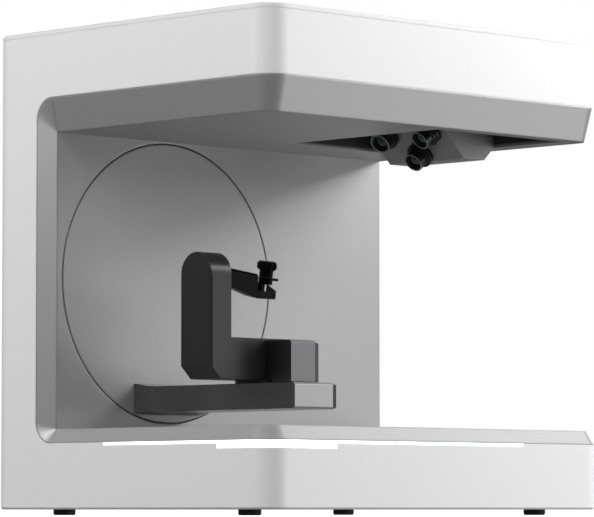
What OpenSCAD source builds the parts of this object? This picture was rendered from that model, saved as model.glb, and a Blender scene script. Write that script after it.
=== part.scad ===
// Desktop 3d scanner: a C-shaped cabinet whose bay holds a tilting arm, a turntable and a
// small clamp, under an overhanging head with two cameras and a projector.
// Origin at the middle of the footprint, +Z up, the open front of the bay towards -Y.

/* [Cabinet] */
// Width of the cabinet
body_w = 335; // [320:1:350]
// Depth of the cabinet
body_d = 282; // [276:1:292]
// Height of the cabinet without its feet
body_h = 336; // [330:1:344]
// Radius of the upright corners
corner_r = 17.5; // [12:0.5:22]
// Wall thickness of the outer shell
shell_t = 3; // [2.5:0.1:3.5]
// Thickness of the top cover
lid_t = 3.5; // [3:0.1:4.5]
// Height of the feet
foot_h = 4; // [3:0.5:6]
// Diameter of the feet
foot_d = 15.5; // [12:0.5:18]
// Distance of the front feet from the middle, sideways
foot_x_front = 142; // [130:0.5:146]
// Distance of the rear feet from the middle, sideways
foot_x_rear = 139.5; // [130:0.5:146]
// Distance of the front feet from the middle, forwards
foot_y_front = 97; // [85:0.5:110]
// Distance of the rear feet from the middle, backwards
foot_y_rear = 94; // [85:0.5:110]

/* [Scanning bay] */
// Height of the seam where the base face ends, above the cabinet's bottom
base_face_h = 46; // [44:0.5:48]
// Height of the deck above the cabinet's bottom
deck_h = 56; // [55:0.5:57]
// Height of the bay's ceiling above the cabinet's bottom
ceiling_h = 264; // [262:0.5:266]
// Height of the lower edge of the head's upright faces
head_face_h = 288.5; // [286:0.5:292]
// How far the bevels round the bay lean inwards
bevel_in = 5.8; // [5:0.1:6.5]
// Depth of the spine's side face
spine_side_d = 48; // [46:0.5:50]
// Distance of the bay's rear wall from the cabinet's back
wall_back_d = 63.5; // [63:0.5:64]
// Radius of the bay's outline corners on the side faces
bay_r = 15.5; // [14:0.5:15.5]
// Thickness of the bay's liner panels
liner_t = 2.5; // [2:0.1:3]

/* [Light strip] */
// Height of the thin part of the light strip
strip_thin = 2; // [1.6:0.1:4]
// Height of the thick part round the corner
strip_thick = 5.3; // [4.5:0.1:8]

/* [Tilting disc and arm] */
// Sideways place of the tilt axis and the turntable
disc_x = -56; // [-60:0.5:-52]
// Height of the tilt axis above the cabinet's bottom
tilt_h = 162; // [161:0.5:163]
// Diameter of the tilting disc
disc_d = 200; // [196:1:201]
// Thickness of the tilting disc
disc_t = 5; // [4.5:0.1:5]
// Gap round the disc
disc_gap = 0.9; // [0.6:0.1:1.2]
// Distance from the tilt axis down to the arm's top
arm_drop = 74.5; // [73.5:0.1:75.5]
// Thickness of the arm
arm_t = 18.2; // [17:0.1:19]
// Width of the arm
arm_w = 42; // [40:0.5:44]
// Width of the arm's root on the disc
root_w = 66; // [60:1:70]
// Radius of the long flares at the arm's root
root_r = 80; // [60:1:90]
// Distance from the turntable's axis to the arm's front end
arm_nose = 50.7; // [49:0.1:52]

/* [Turntable and holder] */
// Place of the turntable's axis, front to back
spin_y = -22.3; // [-24:0.1:-20]
// Diameter of the turntable
table_d = 41.6; // [38:0.1:41.8]
// Thickness of the turntable
table_t = 2; // [1.8:0.1:2.6]
// Thickness of the holder bracket, front to back
bracket_t = 30.4; // [28:0.1:31]
// Distance from the axis to the bracket's outer face
bracket_reach = 65.6; // [64:0.1:67]
// Width of the bracket's column
column_w = 19; // [17:0.5:20]
// Height of the bracket's foot
bracket_foot_h = 28.7; // [27:0.1:30]
// Width of the mounting block
block_w = 27.4; // [27:0.1:29]
// Height of the mounting block's top above the turntable
block_h = 27.3; // [26:0.1:28]
// Distance from the axis to the block's front
block_reach = 41; // [40:0.5:43]

/* [Clamp] */
// Angle that the clamp is swivelled towards the front
clamp_lean = 9.4; // [0:0.1:12]
// Diameter of the clamp arm's shaft
clamp_shaft_d = 8; // [7:0.5:9]
// Thickness of the clamp arm
clamp_t = 9; // [8:0.5:10]
// Diameter of the clamp's stud
stud_d = 2.2; // [2:0.1:2.6]
// Diameter of the thumb nut
knob_d = 14; // [12:0.2:14.4]
// Open gap between the jaws
jaw_gap = 5.1; // [4.8:0.1:5.5]

/* [Scan module] */
// Left edge of the recess in the ceiling
recess_x0 = 13.2; // [12:0.1:14]
// Right edge of the recess
recess_x1 = 142.5; // [141:0.1:144]
// Front edge of the recess
recess_y0 = -123.7; // [-125:0.1:-122]
// Rear edge of the recess
recess_y1 = 25.5; // [24:0.1:27]
// Depth of the recess above the ceiling
recess_h = 23.5; // [22:0.1:24]
// How far the module hangs below the ceiling
pod_drop = 9.8; // [9:0.1:10.5]
// Diameter of the camera barrels
camera_d = 15.6; // [14:0.2:16]
// Diameter of the projector barrel
projector_d = 15.2; // [14:0.2:15.6]
// Length of the camera and projector barrels
barrel_l = 20; // [18:0.5:20]
// How much wider the collars behind the barrels' front sections are
collar_step = 5; // [3:0.5:6]

/* [Hidden] */
$fn = 96;

// Colours of the finishes
shell_white = [0.93, 0.93, 0.94];
liner_grey = [0.72, 0.73, 0.74];
black_plastic = [0.08, 0.08, 0.09];
black_metal = [0.13, 0.13, 0.14];
plain_steel = [0.68, 0.69, 0.71];
zinc_steel = [0.55, 0.56, 0.58];
board_green = [0.08, 0.33, 0.20];
glass_green = [0.25, 0.38, 0.34, 0.6];
brass_gold = [0.72, 0.58, 0.28];

// Heights from the floor
z_bottom = foot_h;
z_seam = foot_h + base_face_h;
z_deck = foot_h + deck_h;
z_ceiling = foot_h + ceiling_h;
z_head_face = foot_h + head_face_h;
z_lid = foot_h + body_h - lid_t;
z_top = foot_h + body_h;
z_tilt = foot_h + tilt_h;

// Planes across the cabinet
half_w = body_w / 2;
half_d = body_d / 2;
y_wall = half_d - wall_back_d;
y_spine = half_d - spine_side_d;
plate_t = 2;
eps = 0.01;

// Feet, and the bevel round the shell's lower edge
foot_places = [
    for (x = [-1, 1]) [x * foot_x_front, -foot_y_front, 0],
    for (x = [-1, 1]) [x * foot_x_rear, foot_y_rear, 0]
];
hem = 1.2;

// Recess for the rear panel
panel_x = 145;
panel_z0 = 18;
panel_z1 = 326;
panel_t = 1.5;
panel_lip = 8;
panel_gap = 0.3;
panel_screw_step = (panel_z1 - panel_z0 - 12) / 3;
panel_screw_places = [
    for (x = [-1, 1]) for (i = [0 : 3]) [x * (panel_x - 4), panel_z0 + 6 + i * panel_screw_step]
];

// Light strip ends: along the left side, and along the front
strip_side_end = 22;
strip_side_thick = -91.5;
strip_front_thick = -103;
strip_front_end = 81.8;

// Bearing of the tilting disc, its hub and the gears that drive it
y_disc_back = y_wall + disc_t;
bearing_w = 9;
y_bearing = y_disc_back + 10.5;
y_frame = y_bearing + bearing_w - 3;
hub_r = 26;
hub_flange_r = 30;
inner_ring_r = 31;
outer_ring_in = 36;
outer_ring_r = 40;
housing_r = 47;
ball_r = 4;
ball_orbit = 33.5;
ball_count = 16;
cable_bore_r = 9;
gear_t = 5;
tilt_module = 1;
ring_teeth = 90;
pinion_teeth = 18;
tilt_centres = tilt_module * (ring_teeth + pinion_teeth) / 2;
motor_w = 42;
motor_l = 34;
motor_shaft_r = 2.5;
fit = 0.05;

// Arm levels, its root's flare and its inner cavity
z_arm1 = z_tilt - arm_drop;
z_arm0 = z_arm1 - arm_t;
y_nose = spin_y - arm_nose;
root_l = sqrt(root_r * root_r - pow(root_r - (root_w - arm_w) / 2, 2));
root_rise = 2;
root_rise_l = 18;
root_sink = 0.8;
root_sink_l = 15;
arm_wall = 3;
arm_roof = 2.7;
end_run = 4.2;
end_fall = 0.9;
z_cavity = z_arm1 - arm_roof;
cover_t = 2;
cavity_y1 = 58;
boss_r = 3.5;
screw_r = 1.25;

// Step in the disc's face that takes the segment below the arm
chord_z = z_arm0 - 1;
step_t = 2.5;
arm_bolt_places = [for (x = [-15, 15]) for (z = [-4.3, 4.3]) [disc_x + x, z_arm0 + arm_t / 2 + z]];
arm_screw_places = [
    for (x = [-1, 1]) for (y = [y_nose + arm_wall + boss_r, cavity_y1 - boss_r])
        [disc_x + x * (arm_w / 2 - arm_wall - boss_r), y, 0]
];

// Turntable, its bush and its drive inside the arm
z_table0 = z_arm1 + 0.3;
z_table1 = z_table0 + table_t;
spindle_r = 4.5;
bush_r = 7;
bush_flange_r = 8.75;
table_module = 0.75;
table_teeth = 40;
table_pinion_teeth = 12;
table_centres = table_module * (table_teeth + table_pinion_teeth) / 2;
z_gear0 = z_arm0 + cover_t + 0.7;
table_gear_t = 3;
table_motor_r = 10;
pinion_shaft_r = 1;

// Holder bracket and mounting block
x_column = disc_x - bracket_reach;
bracket_y0 = spin_y - bracket_t / 2;
bracket_cut = 9;
bracket_bevel = 2.3;
bracket_run = 1.4;
block_y0 = spin_y - block_reach;
foot_top = z_table1 + bracket_foot_h;
block_top = z_table1 + block_h;
block_skirt_y = spin_y - table_d / 2 - 0.5;
foot_x1 = disc_x + 13.2;
block_screw_x = [foot_x1 - 19.5, foot_x1 - 6];
block_screw_z = z_table1 + 20;

// Clamp levels before it is swivelled, from the tilt axis down and up
stud_x = disc_x + 1;
z_jaw0 = z_tilt - 14.5;
z_jaw1 = z_tilt - 9.5;
z_grip = z_jaw1 + jaw_gap;
blade_z0 = z_tilt - 1.8;
blade_z1 = z_tilt;
z_nut = z_tilt + 0.5;
z_nut_head = z_tilt + 5.3;
z_nut_top = z_tilt + 11.7;
x_jaw = disc_x + 8.3;
x_tip = disc_x + 15.1;
x_root = disc_x - 10.2;
web_y = spin_y + 2.3;
boss_d = 10.1;
neck_d = 9.6;
top_slope = 6.2;
z_root_top = z_tilt + 6.6;

// Scan module outline and its lenses
z_pod = z_ceiling - pod_drop;
z_recess = z_ceiling + recess_h;
pod_x0 = 109;
pod_x1 = 131;
pod_x2 = recess_x1 - 0.2;
pod_y0 = -59.2;
pod_y1 = 15;
pod_wall = 2.5;
pod_side_wall = 1.5;
pod_rise = 10.7;
camera_target = [disc_x, spin_y, z_tilt - 11];
projector_target = [disc_x, spin_y, z_tilt - 36];
rear_lens = [80.6, -2.2, z_ceiling + 2.5];
front_lens = [80.7, -41.9, z_ceiling + 2.4];
projector_lens = [94.4, -22.4, z_ceiling - 11.6];
pod_screw_places = [[138.7, z_ceiling + 7.7], [94, z_ceiling + 19]];

// Posts under the main board
standoff_places = [for (x = [-124, 14]) for (y = [-104, -16]) [x, y, 0]];

// Sockets and the switch on the rear panel
socket_z = 42;
inlet_x = 110;
switch_x = 74;
data_x = 40;
fan_x = 70;
fan_z = 268;
fan_w = 60;
fan_t = 15;
y_panel = half_d - panel_t;

// ---- helpers ----

// A rectangle with round corners, centred
module round_rect(w, d, r) {
    square([w - 2 * r, d], center = true);
    square([w, d - 2 * r], center = true);
    for (x = [-1, 1]) for (y = [-1, 1]) translate([x * (w / 2 - r), y * (d / 2 - r)]) circle(r);
}

// A thin plate of the cabinet's plan, drawn in by a margin
module plan_slab(margin, z, h, fn = 96) {
    translate([0, 0, z]) linear_extrude(h)
        round_rect(body_w - 2 * margin, body_d - 2 * margin, corner_r - margin, $fn = fn);
}

// A box from its lowest and highest corners
module box(a, b) {
    translate(a) cube(b - a);
}

// Children drawn round a vertical axis, laid along +Y
module along_y(x, y, z) {
    translate([x, y, z]) rotate([-90, 0, 0]) children();
}

// Children drawn round a vertical axis, laid along +X
module along_x(x, y, z) {
    translate([x, y, z]) rotate([0, 90, 0]) children();
}

// Children drawn round +Z with the origin at a lens, turned so that -Z looks at the target
module at_lens(lens, target) {
    back = lens - target;
    translate(lens)
        rotate([0, acos(back.z / norm(back)), atan2(back.y, back.x)])
            children();
}

// What a bevel takes off a corner at the origin, from one point on -X to one on -Y
module corner_cut(run, fall) {
    polygon([[-2 * run, fall], [run, -2 * fall], [run, fall]]);
}

// A bevel's cut down the right edge of a square end, and one along its top
module end_cuts(x1, y0, z1, top_run) {
    translate([x1, y0, 0]) linear_extrude(z_top) mirror([0, 1, 0]) corner_cut(end_run, end_fall);
    along_x(x1 - 100, y0, z1) linear_extrude(200) rotate(180) corner_cut(top_run, end_fall);
}

// Spur gear outline: straight-sided teeth with room to run
module gear_outline(teeth, mod) {
    tip = mod * (teeth / 2 + 0.8);
    root = mod * (teeth / 2 - 1.1);
    step = 360 / teeth;
    polygon([
        for (i = [0 : teeth - 1])
            for (p = [[-0.29, root], [-0.1, tip], [0.1, tip], [0.29, root]])
                p[1] * [cos((i + p[0]) * step), sin((i + p[0]) * step)]
    ]);
}

// The bay's outline on the side faces, as a bar through the cabinet
module bay_bar() {
    box([-half_w - 1, -half_d - 1, z_seam], [half_w + 1, y_spine - bay_r, z_head_face]);
    box([-half_w - 1, 0, z_seam + bay_r], [half_w + 1, y_spine, z_head_face - bay_r]);
    for (z = [z_seam + bay_r, z_head_face - bay_r])
        along_x(-half_w - 1, y_spine - bay_r, z) cylinder(r = bay_r, h = body_w + 2);
}

// The flared side mouth of the bay; side is -1 for left and 1 for right
module side_flare(side) {
    x_in = half_w - bevel_in;
    mirror([side < 0 ? 1 : 0, 0, 0]) hull() {
        box([x_in - eps, -half_d - 20, z_deck], [x_in, y_wall, z_ceiling]);
        box([half_w, -half_d - 20, z_seam], [half_w + 1, y_spine - bay_r, z_head_face]);
        for (z = [z_seam + bay_r, z_head_face - bay_r])
            along_x(half_w, y_spine - bay_r, z) cylinder(r = bay_r, h = 1, $fn = 48);
    }
}

// A bevelled tray of the cabinet's plan: wide at one height, drawn in at the other
module bevel_tray(z_wide, z_narrow, margin) {
    up = z_narrow > z_wide ? -eps : 0;
    hull() {
        plan_slab(margin, z_wide + (z_narrow > z_wide ? 0 : -eps), eps, 64);
        plan_slab(bevel_in + margin, z_narrow + up, eps, 64);
    }
}

// Where the light strip lies in the shell's base wall
module strip_zone() {
    box([-half_w - 1, -half_d - 1, z_seam - strip_thin], [-half_w + 20, strip_side_end, z_seam]);
    box([-half_w - 1, -half_d - 1, z_seam - strip_thick], [-half_w + 20, strip_side_thick, z_seam]);
    box([-half_w - 1, -half_d - 1, z_seam - strip_thin], [strip_front_end, -half_d + 20, z_seam]);
    box([-half_w - 1, -half_d - 1, z_seam - strip_thick], [strip_front_thick, -half_d + 20, z_seam]);
}

// A screw along +Z: head below, shank above
module screw(head_r, head_h, shank_r, shank_l) {
    cylinder(r = head_r, h = head_h, $fn = 32);
    translate([0, 0, head_h]) cylinder(r = shank_r, h = shank_l, $fn = 32);
}

// ---- cabinet ----

module outer_shell() {
    color(shell_white) difference() {
        union() {
            difference() {
                union() {
                    plan_slab(0, z_bottom + hem, z_lid - z_bottom - hem);
                    hull() {
                        plan_slab(0, z_bottom + hem, eps, 64);
                        plan_slab(hem, z_bottom, eps, 64);
                    }
                }
                plan_slab(shell_t, z_bottom - 1, z_lid);
            }
            // ledge that the bottom plate is screwed under
            difference() {
                plan_slab(shell_t / 2, z_bottom + plate_t, 3);
                plan_slab(shell_t + 5, z_bottom, 8);
            }
        }
        bay_bar();
        strip_zone();
        box([-panel_x, y_panel, panel_z0], [panel_x, half_d + 1, panel_z1]);
        box([-panel_x + panel_lip, half_d - 9, panel_z0 + panel_lip],
            [panel_x - panel_lip, half_d + 1, panel_z1 - panel_lip]);
    }
}

module top_cover() {
    edge = 1;
    color(shell_white) {
        plan_slab(0, z_lid, lid_t - edge);
        hull() {
            plan_slab(0, z_top - edge - eps, eps, 64);
            plan_slab(edge, z_top - eps, eps, 64);
        }
        difference() {
            plan_slab(shell_t + 0.2, z_lid - 3, 3);
            plan_slab(shell_t + 2.2, z_lid - 4, 5);
        }
    }
}

module rear_panel() {
    color(shell_white) difference() {
        box([-panel_x + panel_gap, y_panel, panel_z0 + panel_gap],
            [panel_x - panel_gap, half_d, panel_z1 - panel_gap]);
        // ventilation slots
        for (row = [0 : 2]) for (i = [0 : 11])
            translate([-122 + 8 * i, y_panel - 1, 68 + 26 * row]) cube([3, 5, 20]);
        // fan grille
        for (i = [-3 : 3])
            translate([fan_x + 7 * i - 2, y_panel - 1, fan_z - sqrt(25 * 25 - 49 * i * i)])
                cube([4, 5, 2 * sqrt(25 * 25 - 49 * i * i)]);
        translate([inlet_x - 13.6, y_panel - 1, socket_z - 10]) cube([27.2, 5, 20]);
        translate([switch_x - 10.6, y_panel - 1, socket_z - 7.6]) cube([21.2, 5, 15.2]);
        translate([data_x - 6.1, y_panel - 1, socket_z - 5.6]) cube([12.2, 5, 11.2]);
        for (p = panel_screw_places)
            along_y(p.x, y_panel - 1, p.y) cylinder(r = 2.02, h = 4, $fn = 32);
    }
}

module rear_panel_screws() {
    color(zinc_steel) for (p = panel_screw_places)
        along_y(p.x, y_panel, p.y) cylinder(r = 2, h = panel_t, $fn = 32);
}

module bottom_plate() {
    color(plain_steel) difference() {
        plan_slab(shell_t + 0.2, z_bottom, plate_t);
        for (p = foot_places) translate(p) cylinder(r = 2.02, h = 20, $fn = 32);
        for (i = [0 : 9]) translate([-50 + 10 * i, -10, 0]) cube([4, 60, 20]);
    }
}

module rubber_feet() {
    edge = 0.8;
    color(black_plastic) for (p = foot_places) translate(p) difference() {
        union() {
            cylinder(d1 = foot_d - 2 * edge, d2 = foot_d, h = edge);
            translate([0, 0, edge]) cylinder(d = foot_d, h = foot_h - edge);
        }
        translate([0, 0, -1]) cylinder(r = 3.6, h = 2.5);
        cylinder(r = 2.02, h = 20, $fn = 32);
    }
}

module foot_screws() {
    color(zinc_steel) for (p = foot_places) translate(p) translate([0, 0, 0.4]) screw(3.5, 1.1, 2, 6.5);
}

// ---- bay liner ----

module deck_liner() {
    color(liner_grey) difference() {
        bevel_tray(z_seam, z_deck, 0);
        bevel_tray(z_seam - 1, z_deck - liner_t, liner_t);
        box([-half_w - 1, y_wall, 0], [half_w + 1, half_d + 1, z_top]);
    }
}

module head_liner() {
    color(liner_grey) difference() {
        bevel_tray(z_head_face, z_ceiling, 0);
        bevel_tray(z_head_face + 1, z_ceiling + liner_t, liner_t);
        box([-half_w - 1, y_wall, 0], [half_w + 1, half_d + 1, z_top]);
        box([recess_x0, recess_y0, 0], [recess_x1, recess_y1, z_top]);
    }
}

module wall_liner() {
    cheek = 3;
    color(liner_grey) difference() {
        intersection() {
            bay_bar();
            box([-half_w, y_wall, z_seam], [half_w, y_spine, z_head_face]);
        }
        side_flare(-1);
        side_flare(1);
        box([-half_w + bevel_in + cheek, y_wall + cheek, z_seam - 1],
            [half_w - bevel_in - cheek, y_spine + 1, z_head_face + 1]);
        along_y(disc_x, y_wall - 1, z_tilt) cylinder(r = disc_d / 2 + disc_gap, h = 30, $fn = 180);
    }
}

module light_strip() {
    color([0.98, 0.98, 0.97]) intersection() {
        difference() {
            plan_slab(0, z_seam - 10, 10);
            plan_slab(shell_t, 0, z_top);
        }
        strip_zone();
    }
}

module light_boards() {
    color(board_green) {
        box([-half_w + shell_t, strip_side_thick, z_seam - 9],
            [-half_w + shell_t + 1.6, strip_side_end, z_seam - 1]);
        box([strip_front_thick, -half_d + shell_t, z_seam - 9],
            [strip_front_end, -half_d + shell_t + 1.6, z_seam - 1]);
    }
}

// ---- frames and electrics inside ----

module spine_frame() {
    color(plain_steel) difference() {
        box([-135, y_frame, z_bottom + plate_t], [135, y_frame + 3, z_lid - 6]);
        along_y(disc_x, y_frame - 1, z_tilt) cylinder(r = outer_ring_r + 0.02, h = 5);
        along_y(disc_x + tilt_centres, y_frame - 1, z_tilt) cylinder(r = 6, h = 5);
        for (p = [[70, 30], [92, 30], [70, 250], [92, 250], [-80, 30]])
            along_y(p.x, y_frame - 1, p.y) cylinder(r = 8, h = 5);
    }
}

module head_frame() {
    color(plain_steel) difference() {
        box([-135, -120, z_recess + plate_t], [150, y_frame, z_recess + 2 * plate_t]);
        for (x = [-110 : 24 : 10]) for (y = [-95 : 24 : 70])
            translate([x, y, z_recess]) cylinder(r = 8, h = 10);
        for (y = [-70, 60]) translate([100, y, z_recess]) cylinder(r = 8, h = 10);
    }
}

module main_board() {
    color(board_green) difference() {
        union() {
            box([-130, -110, 14], [20, -10, 15.6]);
            box([-100, -80, 15.6], [-60, -40, 21]);
            box([-45, -95, 15.6], [-20, -70, 18]);
            box([-20, -50, 15.6], [10, -25, 20]);
        }
        for (p = standoff_places) translate(p) cylinder(r = 1.52, h = 40, $fn = 32);
    }
}

module board_standoffs() {
    color(brass_gold) for (p = standoff_places) translate(p) {
        translate([0, 0, z_bottom + plate_t]) cylinder(r = 3, h = 14 - z_bottom - plate_t, $fn = 48);
        translate([0, 0, 14]) cylinder(r = 1.5, h = 4, $fn = 32);
    }
}

module power_supply() {
    color(zinc_steel) difference() {
        box([55, -20, z_bottom + plate_t], [140, 85, 38]);
        for (i = [0 : 7]) translate([62 + 9 * i, -25, 12]) cube([4, 115, 22]);
    }
}

module power_inlet() {
    color(black_plastic) difference() {
        box([inlet_x - 13.6, half_d - 22, socket_z - 10], [inlet_x + 13.6, half_d, socket_z + 10]);
        box([inlet_x - 11.2, half_d - 15, socket_z - 7.5], [inlet_x + 11.2, half_d + 1, socket_z + 7.5]);
        for (x = [-7, 0, 7])
            box([inlet_x + x - 1, half_d - 23, socket_z - 2 + abs(x) / 7],
                [inlet_x + x + 1, half_d, socket_z + 2 + abs(x) / 7]);
    }
}

module inlet_pins() {
    color(brass_gold) for (x = [-7, 0, 7])
        box([inlet_x + x - 1, half_d - 23, socket_z - 2 + abs(x) / 7],
            [inlet_x + x + 1, half_d - 4, socket_z + 2 + abs(x) / 7]);
}

module switch_frame() {
    color(black_plastic) difference() {
        box([switch_x - 10.6, half_d - 14, socket_z - 7.6], [switch_x + 10.6, half_d, socket_z + 7.6]);
        box([switch_x - 9.2, half_d - 12, socket_z - 5.8], [switch_x + 9.2, half_d + 1, socket_z + 5.8]);
        along_x(switch_x - 11, half_d - 5.5, socket_z) cylinder(r = 1.5 + fit, h = 22, $fn = 48);
    }
}

// The rocker rests tilted on its own cross pin; its face is two slopes that meet over the pin
module power_rocker() {
    color(black_plastic) {
        translate([switch_x - 8.8, half_d - 5.5, socket_z]) rotate([-8, 0, 0]) rotate([90, 0, 90])
            linear_extrude(17.6)
                polygon([[-2.2, -3], [1, -4.7], [4.6, -4.7], [3.6, 0], [4.6, 4.7], [1, 4.7], [-2.2, 3]]);
        along_x(switch_x - 10.4, half_d - 5.5, socket_z) cylinder(r = 1.5, h = 20.8, $fn = 48);
    }
}

module data_port() {
    color(plain_steel) {
        difference() {
            box([data_x - 6.1, half_d - 16, socket_z - 5.6], [data_x + 6.1, half_d, socket_z + 5.6]);
            box([data_x - 4.6, half_d - 10, socket_z - 4.2], [data_x + 4.6, half_d + 1, socket_z + 4.2]);
        }
        box([data_x - 2.8, half_d - 10 - eps, socket_z - 1.6], [data_x + 2.8, half_d - 1.5, socket_z + 1.6]);
    }
}

module fan_frame() {
    color(black_plastic) {
        difference() {
            box([fan_x - fan_w / 2, y_panel - fan_t, fan_z - fan_w / 2],
                [fan_x + fan_w / 2, y_panel, fan_z + fan_w / 2]);
            along_y(fan_x, y_panel - fan_t - 1, fan_z) cylinder(r = 28, h = fan_t + 2);
        }
        difference() {
            union() {
                along_y(fan_x, y_panel - fan_t, fan_z) cylinder(r = 11, h = 2);
                for (a = [45, 135])
                    translate([fan_x, y_panel - fan_t + 1, fan_z]) rotate([0, a, 0])
                        cube([57, 2, 3], center = true);
            }
            along_y(fan_x, y_panel - fan_t - 1, fan_z) cylinder(r = 1.5 + fit, h = 5, $fn = 48);
        }
    }
}

module fan_rotor() {
    color(black_plastic) {
        along_y(fan_x, y_panel - fan_t + 2.6, fan_z) cylinder(r = 11.5, h = 11);
        along_y(fan_x, y_panel - fan_t + 0.2, fan_z) cylinder(r = 1.5, h = 4, $fn = 48);
        for (i = [0 : 6])
            translate([fan_x, y_panel - fan_t + 8, fan_z]) rotate([0, i * 360 / 7, 0])
                translate([18.5, 0, 0]) rotate([38, 0, 0]) cube([15.6, 1.2, 11], center = true);
    }
}

// ---- drive of the tilting disc ----

module spine_ring(r_out, r_in, y0, y1) {
    along_y(disc_x, y0, z_tilt) difference() {
        cylinder(r = r_out, h = y1 - y0, $fn = 180);
        translate([0, 0, -1]) cylinder(r = r_in, h = y1 - y0 + 2, $fn = 180);
    }
}

module ball_race() {
    along_y(disc_x, y_bearing + bearing_w / 2, z_tilt)
        rotate_extrude($fn = 120) translate([ball_orbit, 0]) circle(r = ball_r + fit, $fn = 64);
}

module bearing_housing() {
    color(plain_steel) {
        spine_ring(housing_r, outer_ring_r + 0.02, y_bearing - eps, y_frame);
        spine_ring(housing_r, outer_ring_r - 2, y_bearing - 2, y_bearing);
    }
}

module bearing_outer_ring() {
    color(plain_steel) difference() {
        spine_ring(outer_ring_r, outer_ring_in, y_bearing, y_bearing + bearing_w);
        ball_race();
    }
}

module bearing_balls() {
    color(plain_steel) along_y(disc_x, y_bearing + bearing_w / 2, z_tilt)
        for (i = [1 : ball_count]) rotate(i * 360 / ball_count)
            translate([ball_orbit, 0, 0]) sphere(r = ball_r, $fn = 48);
}

module bearing_inner_ring() {
    color(plain_steel) difference() {
        spine_ring(inner_ring_r, hub_r + 0.02, y_bearing, y_bearing + bearing_w);
        ball_race();
    }
}

module swing_hub() {
    color(zinc_steel) difference() {
        union() {
            spine_ring(hub_flange_r + 4, cable_bore_r, y_disc_back, y_disc_back + 4);
            spine_ring(hub_r + 2.5, cable_bore_r, y_disc_back + 4 - eps, y_bearing);
            spine_ring(hub_r, cable_bore_r, y_bearing - eps, y_bearing + bearing_w + 4);
        }
        screw_ring(hub_flange_r + 1.2, 6, 1.52, y_disc_back - 1, 20);
    }
}

module bearing_nut() {
    y0 = y_bearing + bearing_w;
    color(zinc_steel) spine_ring(hub_r + 4, hub_r + 0.02, y0, y0 + 4);
}

// Round bars along Y in a circle about the tilt axis
module screw_ring(orbit, count, r, y0, l) {
    along_y(disc_x, y0, z_tilt) for (i = [0 : count - 1]) rotate((i + 0.5) * 360 / count)
        translate([orbit, 0, 0]) cylinder(r = r, h = l, $fn = 32);
}

module ring_gear() {
    color(plain_steel) difference() {
        along_y(disc_x, y_disc_back, z_tilt) linear_extrude(gear_t)
            gear_outline(ring_teeth, tilt_module);
        along_y(disc_x, y_disc_back - 1, z_tilt) cylinder(r = hub_flange_r + 4.5, h = 20, $fn = 180);
        screw_ring(39.2, 8, 1.52, y_disc_back - 1, 20);
    }
}

// Heads stand behind the hub's flange and the ring gear; shanks end blind in the disc
module hub_screws() {
    color(zinc_steel) {
        screw_ring(hub_flange_r + 1.2, 6, 1.5, y_disc_back - 3, 7 + eps);
        screw_ring(hub_flange_r + 1.2, 6, 2.2, y_disc_back + 4, 2);
        screw_ring(39.2, 8, 1.5, y_disc_back - 3, 3 + gear_t + eps);
        screw_ring(39.2, 8, 2.8, y_disc_back + gear_t, 2);
    }
}

module tilt_motor() {
    color(black_metal) difference() {
        along_y(disc_x + tilt_centres, y_frame + 3, z_tilt) linear_extrude(motor_l) difference() {
            round_rect(motor_w, motor_w, 4);
            circle(r = motor_shaft_r + fit, $fn = 64);
        }
        along_y(disc_x + tilt_centres, y_frame + 2, z_tilt)
            difference() {
                translate([0, 0, 9]) cylinder(r = 40, h = 1);
                translate([0, 0, 8]) linear_extrude(3) round_rect(motor_w - 1.6, motor_w - 1.6, 3.2);
            }
    }
}

// The pinion and the motor's shaft turn as one piece
module tilt_pinion() {
    color(plain_steel) along_y(disc_x + tilt_centres, y_disc_back + 0.5, z_tilt) {
        rotate(180 / pinion_teeth) linear_extrude(gear_t) gear_outline(pinion_teeth, tilt_module);
        cylinder(r = motor_shaft_r, h = 42, $fn = 64);
    }
}

// ---- tilting disc and arm ----

module swing_disc() {
    color(liner_grey) difference() {
        along_y(disc_x, y_wall, z_tilt) cylinder(d = disc_d, h = disc_t, $fn = 180);
        box([disc_x - 60, y_wall - 1, 0], [disc_x + 60, y_wall + step_t, chord_z]);
        box([disc_x - 8, y_wall - 1, z_arm0 + 3.5], [disc_x + 8, y_disc_back + 1, z_cavity - 1.2]);
        screw_ring(hub_flange_r + 1.2, 6, 1.52, y_disc_back - 3, 7);
        screw_ring(39.2, 8, 1.52, y_disc_back - 3, 7);
        for (p = arm_bolt_places) along_y(p.x, y_wall - 1, p.y) cylinder(r = 2.02, h = 20, $fn = 32);
    }
}

module disc_segment() {
    color(liner_grey) intersection() {
        along_y(disc_x, y_wall, z_tilt) cylinder(d = disc_d, h = step_t, $fn = 180);
        box([disc_x - 60, y_wall - 1, 0], [disc_x + 60, y_wall + step_t, chord_z - 0.3]);
    }
}

module arm_bolts() {
    color(zinc_steel) for (p = arm_bolt_places) {
        along_y(p.x, y_disc_back - 16, p.y) cylinder(r = 2, h = 16 + eps, $fn = 32);
        along_y(p.x, y_disc_back, p.y) cylinder(r = 3.5, h = 3, $fn = 32);
    }
}

module arm_outline() {
    nose_r = 1;
    difference() {
        union() {
            translate([-arm_w / 2, y_nose + nose_r]) square([arm_w, y_wall - y_nose - nose_r]);
            translate([-arm_w / 2 + nose_r, y_nose]) square([arm_w - nose_r, 10]);
            translate([-arm_w / 2 + nose_r, y_nose + nose_r]) circle(nose_r);
            translate([-root_w / 2, y_wall - root_l]) square([root_w, root_l]);
        }
        for (x = [-1, 1])
            translate([x * (arm_w / 2 + root_r), y_wall - root_l]) circle(root_r, $fn = 360);
    }
}

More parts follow.
